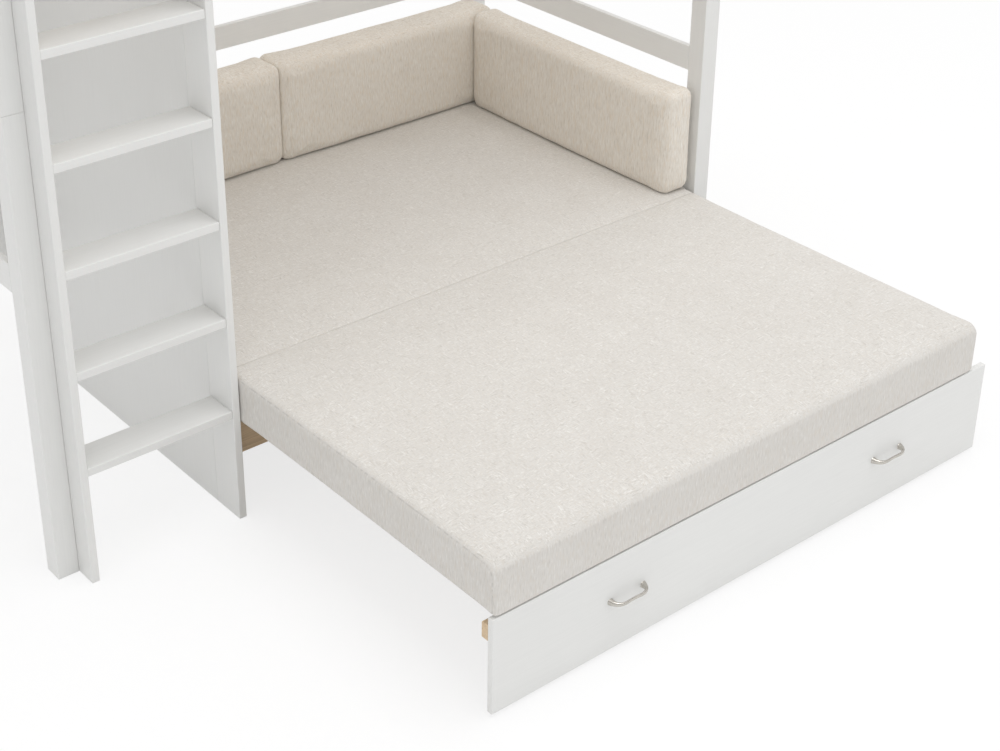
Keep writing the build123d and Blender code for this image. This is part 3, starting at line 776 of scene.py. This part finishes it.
@dataclass
class Pad:
    """Stuffed box with a sewn cover: an outline with rounded corners, carried along one axis and
    turned in at its two end faces, puffed by its filling and pressed flat where it rests.

    The corners are the outline's radii, by low and high end of its first axis, and then of its
    second. The edges are the radii at the low and the high end face, and seamed says which of
    those has a sewn seam round it. The unpuffed cover leaves puff_room of the puff free on every
    side, and pressed gives the depth to which each side is pressed flat.
    """

    node: str
    body: str
    slot: str
    finish: HeatheredCloth
    end_axis: Axis
    corners: tuple[tuple[float, float], tuple[float, float]]
    edges: tuple[float, float]
    seamed: tuple[bool, bool]
    grid_step: float
    puff: float
    uneven_length: float
    fill: float
    pressed: dict[Side, float]
    seed: int
    seam_depth: float = 0.4 * MM
    pucker: float = 0.35
    pucker_length: float = 38 * MM
    pucker_seed_shift: int = 7
    unevenness: float = 0.8 * MM
    puff_room: float = 0.7
    arc_step: float = 5 * MM
    stuffing: Stuffing = Stuffing()
    piece: bpy.types.Object | None = field(default=None, init=False)
    start: np.ndarray | None = field(default=None, init=False)
    seam: np.ndarray | None = field(default=None, init=False)

    def order(self) -> list[int]:
        """The axes with the end axis first."""
        return [self.end_axis.value] + [axis.value for axis in Axis if axis is not self.end_axis]

    def turns(self, radius: float) -> np.ndarray:
        """Even shares of a rounded part's arc, from its end inwards, without the inner end."""
        steps = max(2, round(radius / self.arc_step))
        return np.arange(steps) / steps

    def end_stations(self, half: float) -> np.ndarray:
        """Grid places along the end axis.

        Formula: the places inside an edge of radius r are r(1 - sin t) from the end, for even
        angles t from 90 degrees down.

        Args:
            half: Half of the pad's size on the end axis.

        Returns:
            The places.
        """
        ends = [r * (1 - np.sin((1 - self.turns(r)) * math.pi / 2)) for r in self.edges]
        return axis_stations(half, ends, self.edges, self.grid_step)

    def side_stations(self, half: float, radii: Sequence[float]) -> np.ndarray:
        """Grid places along an axis across the end axis.

        Formula: the places inside a corner of radius R are R(1 - tan t) from the end, for even
        angles t from 45 degrees down, so that the corner is cut into even arcs.

        Args:
            half: Half of the pad's size on this axis.
            radii: The larger corner radius at the low and at the high end.

        Returns:
            The places.
        """
        ends = [r * (1 - np.tan((1 - self.turns(r)) * math.pi / 4)) for r in radii]
        return axis_stations(half, ends, radii, self.grid_step)

    def stations(self, half: np.ndarray) -> list[np.ndarray]:
        """Grid places along the frame's three axes.

        Args:
            half: Half sizes along the three axes.

        Returns:
            The places along X, Y and Z.
        """
        end, first, second = self.order()
        corners = np.array(self.corners)
        made = {end: self.end_stations(half[end])}
        made[first] = self.side_stations(half[first], corners.max(axis=1))
        made[second] = self.side_stations(half[second], corners.max(axis=0))
        return [made[axis.value] for axis in Axis]

    def rounded(self, points: np.ndarray, half: np.ndarray) -> np.ndarray:
        """Round a gridded box.

        Formula: across the end axis, a point is the nearest point of the box drawn in by its
        corner's radius, plus the rest of its way scaled by its larger part over its length,
        which turns square corners into round ones. Then both parts shrink by the share
        (r - sqrt(r r - (r - s)(r - s))) / half for a point at a distance s under the edge
        radius r from an end, which turns the outline in along a quarter circle.

        Args:
            points: The box's points.
            half: Half sizes along the three axes.

        Returns:
            The rounded points.
        """
        end, *across = self.order()
        made = points.copy()
        first, second = (points[:, across] > 0).astype(int).T
        radius = np.array(self.corners)[first, second][:, None]
        inner = half[across] - radius
        core = np.clip(points[:, across], -inner, inner)
        rest = points[:, across] - core
        length = np.maximum(np.linalg.norm(rest, axis=1), TINY)
        larger = np.abs(rest).max(axis=1)
        made[:, across] = core + rest * (larger / length)[:, None]
        edge = np.array(self.edges)[(points[:, end] > 0).astype(int)]
        lean = edge - np.clip(half[end] - np.abs(points[:, end]), 0.0, edge)
        inset = edge - np.sqrt(np.maximum(edge**2 - lean**2, 0.0))
        made[:, across] *= 1 - inset[:, None] / half[across]
        return made

    def shape(self) -> None:
        """Make the unpuffed cover, a little smaller than its space, and note its seams."""
        low, high = (np.array(corner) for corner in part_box(self.node))
        half = (high - low) / 2 - self.puff * self.puff_room
        stations = self.stations(half)
        points, faces, index = box_lattice(stations)
        points = self.rounded(points, half)
        place = index[:, self.end_axis.value]
        last = len(stations[self.end_axis.value]) - 1
        low_seam, high_seam = self.seamed
        self.seam = ((place == 1) & low_seam | (place == last - 1) & high_seam).astype(float)
        self.piece = mesh_object(self.node + "_cover", points + (low + high) / 2, faces)
        self.start = point_array(self.piece.data)

    def stuff(self) -> None:
        """Group the seams' points and start the simulation."""
        group = self.piece.vertex_groups.new(name="seams")
        group.add(np.flatnonzero(self.seam).tolist(), 1.0, "REPLACE")
        self.stuffing.start(self.piece, group)

    def take(self) -> None:
        """Read the simulated shape, limit how far it moved, and drop the simulation.

        Formula: a point that moved by d goes c tanh(|d| / c) along d, for a cap c.
        """
        graph = bpy.context.evaluated_depsgraph_get()
        moved = point_array(self.piece.evaluated_get(graph).data) - self.start
        self.stuffing.stop(self.piece)
        length = np.maximum(np.linalg.norm(moved, axis=1, keepdims=True), TINY)
        limited = moved / length * self.puff * np.tanh(length / self.puff)
        self.write(self.start + limited)

    def write(self, points: np.ndarray) -> None:
        """Put points into the piece's mesh."""
        self.piece.data.vertices.foreach_set("co", points.astype(np.float32).ravel())
        self.piece.data.update()

    def settle(self) -> None:
        """Sink the seams, add the filling's unevenness, and fit the pad to its space.

        Formula: each axis is scaled so that the pad just fills its space, widened by the
        pressed depth on each side that it rests on, and what is past the space is laid flat.
        """
        points = point_array(self.piece.data)
        normals = normal_array(self.piece.data)
        bulge = ripple(points, self.uneven_length, self.seed)
        wrinkles = ripple(points, self.pucker_length, self.seed + self.pucker_seed_shift)
        sink = self.seam * self.seam_depth * (1 + self.pucker * wrinkles)
        points += normals * (bulge * self.unevenness - sink)[:, None]
        low, high = (np.array(corner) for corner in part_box(self.node))
        wide_low, wide_high = low.copy(), high.copy()
        for side, depth in self.pressed.items():
            axis, way = side.value
            if way < 0:
                wide_low[axis] -= depth
            else:
                wide_high[axis] += depth
        least, most = points.min(axis=0), points.max(axis=0)
        points = wide_low + (points - least) / (most - least) * (wide_high - wide_low)
        self.write(np.clip(points, low, high))

    def finish_piece(self) -> bpy.types.Object:
        """Store the seam line, smooth the cover, and put the piece on its body.

        Returns:
            The finished piece.
        """
        attribute = self.piece.data.attributes.new(self.finish.seam_attribute, "FLOAT", "POINT")
        attribute.data.foreach_set("value", self.seam.astype(np.float32))
        smooth = self.piece.modifiers.new("smooth", "SUBSURF")
        smooth.levels = 1
        smooth.render_levels = 1
        self.piece.data.materials.append(material_of(self.finish))
        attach(self.piece, self.body)
        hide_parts(self.node)
        LOG.info("made %s, %d points", self.piece.name, len(self.piece.data.vertices))
        return self.piece


@dataclass
class Upholstery:
    """The two mattress halves and the three loose cushions."""

    mattress_top_corner: float = 30 * MM
    mattress_seat_corner: float = 5 * MM
    mattress_join_corner: float = 6 * MM
    mattress_end_edge: float = 15 * MM
    mattress_step: float = 14 * MM
    mattress_puff: float = 7 * MM
    mattress_uneven_length: float = 240 * MM
    cushion_top_corner: float = 24 * MM
    cushion_seat_corner: float = 34 * MM
    cushion_edge: float = 24 * MM
    cushion_step: float = 8 * MM
    cushion_puff: float = 4.5 * MM
    cushion_uneven_length: float = 160 * MM
    press: float = 3 * MM
    seat_press: float = 5 * MM
    cushion_press: float = 10 * MM
    meeting_press: float = 12 * MM
    crown_press: float = 0.5 * MM
    fill: float = 0.8

    def mattress_half(self, node: str, body: str, join: Side, seed: int) -> Pad:
        """One half of the mattress, its cover wrapped round the long edges, its ends sewn in.

        Args:
            node: The node that it stands for.
            body: The body that it rides on.
            join: The side that meets the other half, where it is almost square.
            seed: Seed of its unevenness.

        Returns:
            The pad.
        """
        outer = (self.mattress_seat_corner, self.mattress_top_corner)
        inner = (self.mattress_join_corner, self.mattress_join_corner)
        corners = (inner, outer) if join is Side.FRONT else (outer, inner)
        free = Side.BACK if join is Side.FRONT else Side.FRONT
        pressed = {
            Side.BOTTOM: self.seat_press, Side.TOP: self.crown_press, join: self.press, free: self.press,
        }
        return Pad(
            node=node, body=body, slot="mattress_fabric", finish=MATTRESS_CLOTH, end_axis=Axis.X,
            corners=corners, edges=(self.mattress_end_edge,) * 2, seamed=(True, True),
            grid_step=self.mattress_step, puff=self.mattress_puff,
            uneven_length=self.mattress_uneven_length, fill=self.fill, pressed=pressed, seed=seed,
        )

    def cushion(self, node: str, axis: Axis, meets: Side, seed: int) -> Pad:
        """A loose cushion that stands on the mattress, with its one seam round its back face.

        Args:
            node: The node that it stands for.
            axis: The axis across its front face.
            meets: The side that is pushed against its neighbour.
            seed: Seed of its unevenness.

        Returns:
            The pad.
        """
        side = (self.cushion_seat_corner, self.cushion_top_corner)
        pressed = {Side.BOTTOM: self.cushion_press, meets: self.meeting_press}
        return Pad(
            node=node, body="bed", slot="cushion_fabric", finish=CUSHION_CLOTH, end_axis=axis,
            corners=(side, side), edges=(self.cushion_edge,) * 2, seamed=(False, True),
            grid_step=self.cushion_step, puff=self.cushion_puff,
            uneven_length=self.cushion_uneven_length, fill=self.fill, pressed=pressed, seed=seed,
        )

    def pads(self) -> list[Pad]:
        """The five pads."""
        return [
            self.mattress_half("front_mattress", "front_half", Side.BACK, 11),
            self.mattress_half("rear_mattress", "bed", Side.FRONT, 12),
            self.cushion("left_back_cushion", Axis.Y, Side.RIGHT, 21),
            self.cushion("right_back_cushion", Axis.Y, Side.LEFT, 22),
            self.cushion("end_cushion", Axis.X, Side.BACK, 23),
        ]

    def build(self) -> list[bpy.types.Object]:
        """Shape, simulate and finish the pads.

        Returns:
            The finished pieces.
        """
        pads = self.pads()
        for pad in pads:
            pad.shape()
        for pad in pads:
            pad.stuff()
        for number in range(1, SIMULATED_FRAMES + 1):
            bpy.context.scene.frame_set(number)
        for pad in pads:
            pad.take()
        bpy.context.scene.frame_set(1)
        for pad in pads:
            pad.settle()
        return [pad.finish_piece() for pad in pads]


# Bed


@dataclass
class PostFrame:
    """The painted posts and rails and the fastenings that join them."""

    sides: tuple[str, ...] = ("left", "right")
    rows: tuple[str, ...] = ("front", "back")
    levels: tuple[str, ...] = ("lower", "upper")

    def posts(self) -> list[str]:
        """Names of the posts' lengths."""
        return [
            f"{side}_{row}_post_{level}"
            for side in self.sides for row in self.rows for level in self.levels
        ]

    def dress(self) -> None:
        """Paint the posts and rails, each with its grain along its length."""
        dress(self.posts(), PaintedWood(Axis.Z))
        lengthwise = ["back_rail", "bunk_front_rail", "bunk_back_rail"]
        dress(lengthwise + ["front_guard_rails", "back_guard_rails"], PaintedWood(Axis.X))
        crosswise = ["left_end_rail", "right_end_rail", "bunk_left_rail", "bunk_right_rail"]
        dress(crosswise + ["left_guard_rails", "right_guard_rails"], PaintedWood(Axis.Y))
        dress(["dowels"], NaturalWood(Axis.X))
        dress(["post_pins"], ZincSteel())


@dataclass
class LadderBay:
    """The ladder, its treads and the boards round the bay behind it."""

    treads: int = 6

    def dress(self) -> None:
        """Paint the boards."""
        boards = ["ladder_left_board", "ladder_right_board", "divider_panel", "ladder_bay_back_panel"]
        dress(boards, PaintedWood(Axis.Z))
        dress([f"ladder_tread_{number + 1}" for number in range(self.treads)], PaintedWood(Axis.X))


@dataclass
class BunkFloor:
    """The upper bunk's slats and their ledges."""

    def dress(self) -> None:
        """Leave the slats and ledges in natural wood."""
        dress(["front_slat_ledge", "back_slat_ledge"], NaturalWood(Axis.X))
        dress(["bunk_slats"], NaturalWood(Axis.Y))


@dataclass
class SofaBase:
    """The fixed base with its slats and steel angles."""

    def dress(self) -> None:
        """Natural wood with zinc fastenings."""
        dress(["base_front_rail", "base_back_rail"], NaturalWood(Axis.X))
        dress(["base_slats"], NaturalWood(Axis.Y))
        dress(["base_slat_screws", "base_angles", "base_angle_screws"], ZincSteel())


@dataclass
class PullOut:
    """The slatted frame that pulls out, with its front panel, handles and wheels."""

    wheels: int = 3

    def dress(self) -> None:
        """Painted panel, nickel handles, natural slats, zinc brackets and nylon wheels."""
        dress(["pullout_front_panel"], PaintedWood(Axis.X))
        dress(["left_handle", "right_handle"], BrushedNickel())
        dress(["pullout_front_rail", "pullout_rear_batten"], NaturalWood(Axis.X))
        dress(["pullout_slats"], NaturalWood(Axis.Y))
        fastenings = ["pullout_slat_screws", "handle_screws", "wheel_brackets", "bracket_screws"]
        dress(fastenings + ["wheel_axles"], ZincSteel())
        dress([f"wheel_{number + 1}" for number in range(self.wheels)], DarkNylon())


# Studio


@dataclass
class Studio:
    """White floor and even surround, a wide soft lamp overhead, and the camera."""

    frame_width: float = 1000.0
    frame_height: float = 751.0
    focal_length: float = 1837.8
    picture_middle: tuple[float, float] = (458.0, 275.0)
    camera_place: Triple = (-2.4923, -3.2706, 2.6361)
    camera_yaw: float = 38.94
    camera_pitch: float = -28.08
    sensor: float = 36.0
    sight: float = 200.0
    floor_half: float = 40.0
    floor_tone: float = 0.95
    floor_glow: float = 0.77
    world_level: float = 0.8
    backdrop_level: float = 0.97
    mirrored_levels: Range = (0.2, 1.3)
    mirrored_heights: Range = (0.0, 0.9)
    lamp_power: float = 192.0
    lamp_size: float = 5.0
    lamp_place: Triple = (0.4, -1.2, 7.0)
    lamp_aim: Triple = (0.3, -0.1, 0.5)

    def floor_material(self) -> bpy.types.Material:
        """Pale floor that reads white to the camera and in reflections, and keeps the shadow."""
        graph = Graph("studio_floor")
        rays = graph.add("ShaderNodeLightPath")
        seen = graph.math("MAXIMUM", rays.outputs["Is Camera Ray"], rays.outputs["Is Glossy Ray"])
        seen = graph.math("MAXIMUM", seen, rays.outputs["Is Transmission Ray"])
        tone = (*shade(WHITE, self.floor_tone), 1.0)
        matt = graph.feed(graph.add("ShaderNodeBsdfDiffuse"), Color=tone)
        glow = graph.feed(graph.add("ShaderNodeEmission"), Color=(*WHITE, 1.0), Strength=1.0)
        blend = graph.add("ShaderNodeMixShader")
        graph.feed(blend, Fac=graph.math("MULTIPLY", seen, self.floor_glow))
        graph.tree.links.new(matt.outputs[0], blend.inputs[1])
        graph.tree.links.new(glow.outputs[0], blend.inputs[2])
        output = graph.add("ShaderNodeOutputMaterial")
        graph.tree.links.new(blend.outputs[0], output.inputs["Surface"])
        return graph.owner

    def floor(self) -> None:
        """Lay the floor just under the feet."""
        half = self.floor_half
        corners = np.array([[-half, -half, 0], [half, -half, 0], [half, half, 0], [-half, half, 0]])
        made = mesh_object("studio_floor", corners, np.array([[0, 1, 2, 3]]))
        made.data.materials.append(self.floor_material())

    def world(self) -> None:
        """Even surround, near white to the camera, and graded by height in reflections.

        The reflected part is darker towards the horizon, which gives the metal its form.
        """
        graph = Graph("studio_world", bpy.data.worlds)
        rays = graph.add("ShaderNodeLightPath").outputs
        seen = graph.math("MAXIMUM", rays["Is Camera Ray"], rays["Is Transmission Ray"])
        even = graph.remap(seen, (0.0, 1.0), (self.world_level, self.backdrop_level))
        facing = graph.add("ShaderNodeSeparateXYZ")
        graph.feed(facing, Vector=graph.add("ShaderNodeTexCoord").outputs["Generated"])
        mirrored = graph.remap(facing.outputs["Z"], self.mirrored_heights, self.mirrored_levels)
        level = graph.math("MULTIPLY", mirrored, rays["Is Glossy Ray"])
        rest = graph.math("MULTIPLY", even, graph.math("SUBTRACT", 1.0, rays["Is Glossy Ray"]))
        glow = graph.add("ShaderNodeBackground")
        graph.feed(glow, Color=(*WHITE, 1.0), Strength=graph.math("ADD", level, rest))
        output = graph.add("ShaderNodeOutputWorld")
        graph.tree.links.new(glow.outputs[0], output.inputs["Surface"])
        bpy.context.scene.world = graph.owner

    def lamp(self) -> None:
        """Wide soft lamp overhead."""
        light = bpy.data.lights.new("lamp", "AREA")
        light.shape = "SQUARE"
        light.size = self.lamp_size
        light.energy = self.lamp_power
        made = bpy.data.objects.new("lamp", light)
        made.location = self.lamp_place
        aim = Vector(self.lamp_aim) - Vector(self.lamp_place)
        made.rotation_euler = aim.to_track_quat("-Z", "Y").to_euler()
        bpy.context.scene.collection.objects.link(made)

    def camera(self) -> None:
        """Camera at the photograph's viewing angle."""
        lens = bpy.data.cameras.new("camera")
        lens.sensor_width = self.sensor
        lens.lens = self.focal_length / self.frame_width * self.sensor
        middle_u, middle_v = self.picture_middle
        lens.shift_x = (self.frame_width / 2 - middle_u) / self.frame_width
        lens.shift_y = (middle_v - self.frame_height / 2) / self.frame_width
        lens.clip_end = self.sight
        made = bpy.data.objects.new("camera", lens)
        made.location = self.camera_place
        turn = (math.radians(90 + self.camera_pitch), 0.0, -math.radians(self.camera_yaw))
        made.rotation_euler = Euler(turn)
        bpy.context.scene.collection.objects.link(made)
        bpy.context.scene.camera = made

    def build(self) -> None:
        """Set the studio up."""
        self.floor()
        self.world()
        self.lamp()
        self.camera()
        bpy.context.scene.view_settings.view_transform = "Standard"


def main() -> None:
    """Build the sub-assemblies in order, then the studio."""
    logging.basicConfig(level=logging.INFO, format="%(message)s")
    for part in (PostFrame(), LadderBay(), BunkFloor(), SofaBase(), PullOut()):
        part.dress()
    Upholstery().build()
    Studio().build()


if __name__ == "__main__":
    main()
